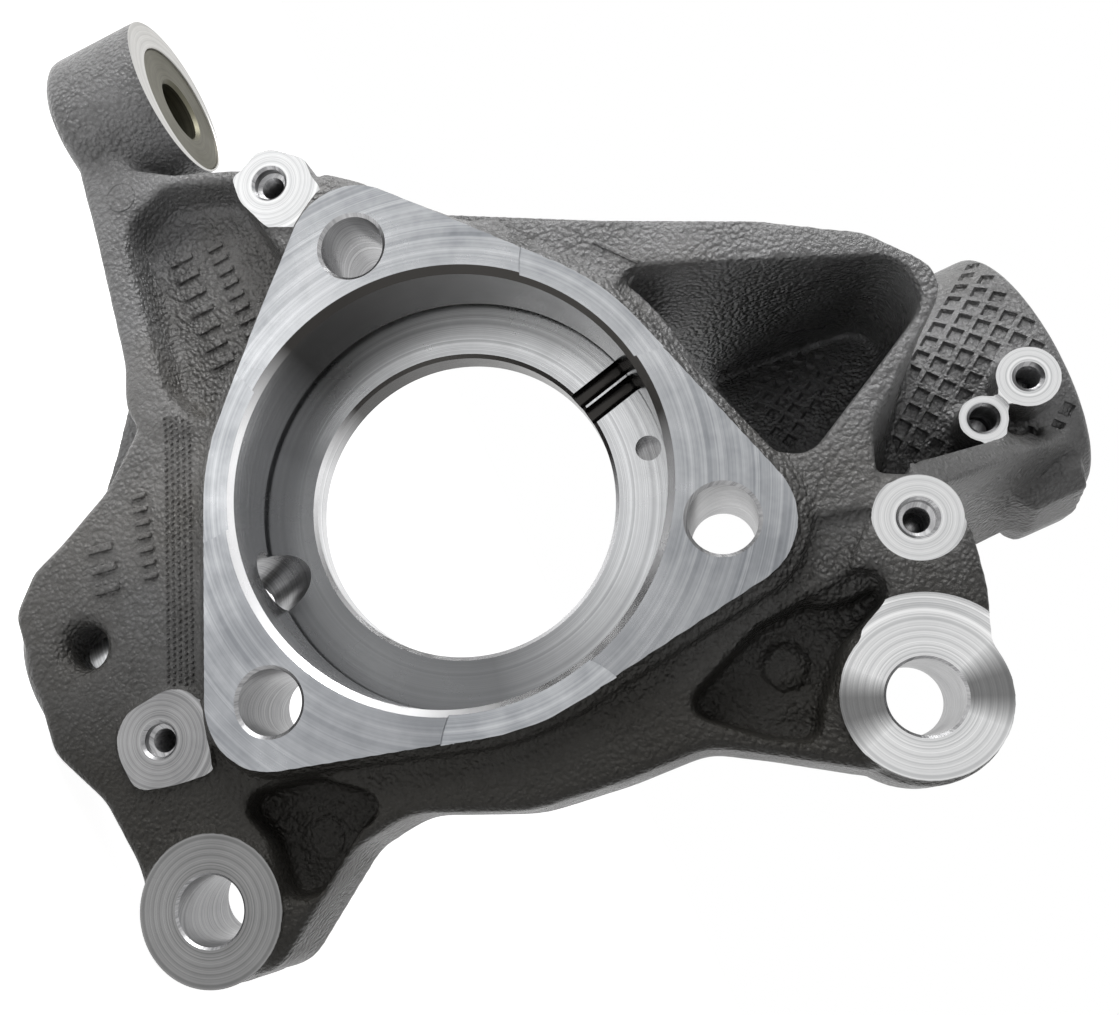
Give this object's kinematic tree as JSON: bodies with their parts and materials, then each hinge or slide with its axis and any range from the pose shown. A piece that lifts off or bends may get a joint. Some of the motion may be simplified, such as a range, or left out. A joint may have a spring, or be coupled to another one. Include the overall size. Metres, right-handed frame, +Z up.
{
  "type": "steering knuckle",
  "caption": "Cast front steering knuckle with a machined hub flange and bearing seat, caliper ears, split strut clamp, ball joint boss and a steering arm with a pressed-in bush.",
  "frame": {"origin": "centre of the hub bolt circle, on the machined hub flange face", "axes": "-Y outboard along the bearing axis, +Z up in the vehicle along the strut clamp, +X towards the brake caliper ears"},
  "size_m": [0.2305, 0.13, 0.2308],
  "materials": {
    "cast_aluminium": "dark rough as-cast skin, with bright machined faces and bores",
    "bush_steel": "turned, thin passivated coat"
  },
  "bodies": {
    "root": {"knuckle_casting": "cast_aluminium", "tie_rod_bush": "bush_steel"}
  },
  "joints": []
}
